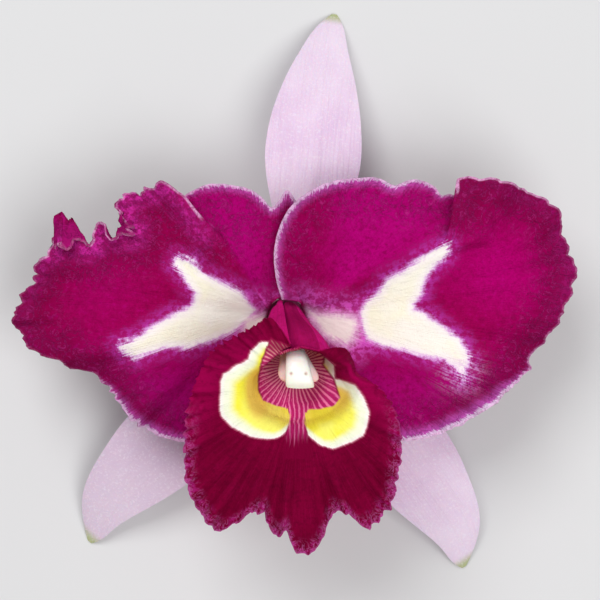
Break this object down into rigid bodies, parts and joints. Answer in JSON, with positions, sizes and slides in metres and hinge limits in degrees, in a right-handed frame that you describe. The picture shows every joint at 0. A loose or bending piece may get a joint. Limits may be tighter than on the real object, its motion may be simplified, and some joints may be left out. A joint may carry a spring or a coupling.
{
  "type": "orchid bloom",
  "caption": "Cattleya orchid bloom as picked, lying face up: reflexed sepals, broad waved petals, a frilled lip rolled round the column, and a short curved stalk. A display or table flower.",
  "frame": {"origin": "on the surface that the bloom lies on, under the middle of the bounding box", "axes": "+Z the way the flower faces, away from the surface; +Y up the back sepal; +X to the petal at the picture's right"},
  "size_m": [0.1518, 0.1584, 0.0618],
  "materials": {
    "sepal": "satin",
    "petal": "satin",
    "lip": "satin",
    "column": "satin",
    "anther_cap": "satin",
    "stalk": "satin"
  },
  "bodies": {
    "root": {"dorsal_sepal": "sepal", "lateral_sepal_left": "sepal", "lateral_sepal_right": "sepal", "petal_left": "petal", "petal_right": "petal", "lip": "lip", "column": "column", "anther_cap": "anther_cap", "ovary_stalk": "stalk"}
  },
  "joints": []
}
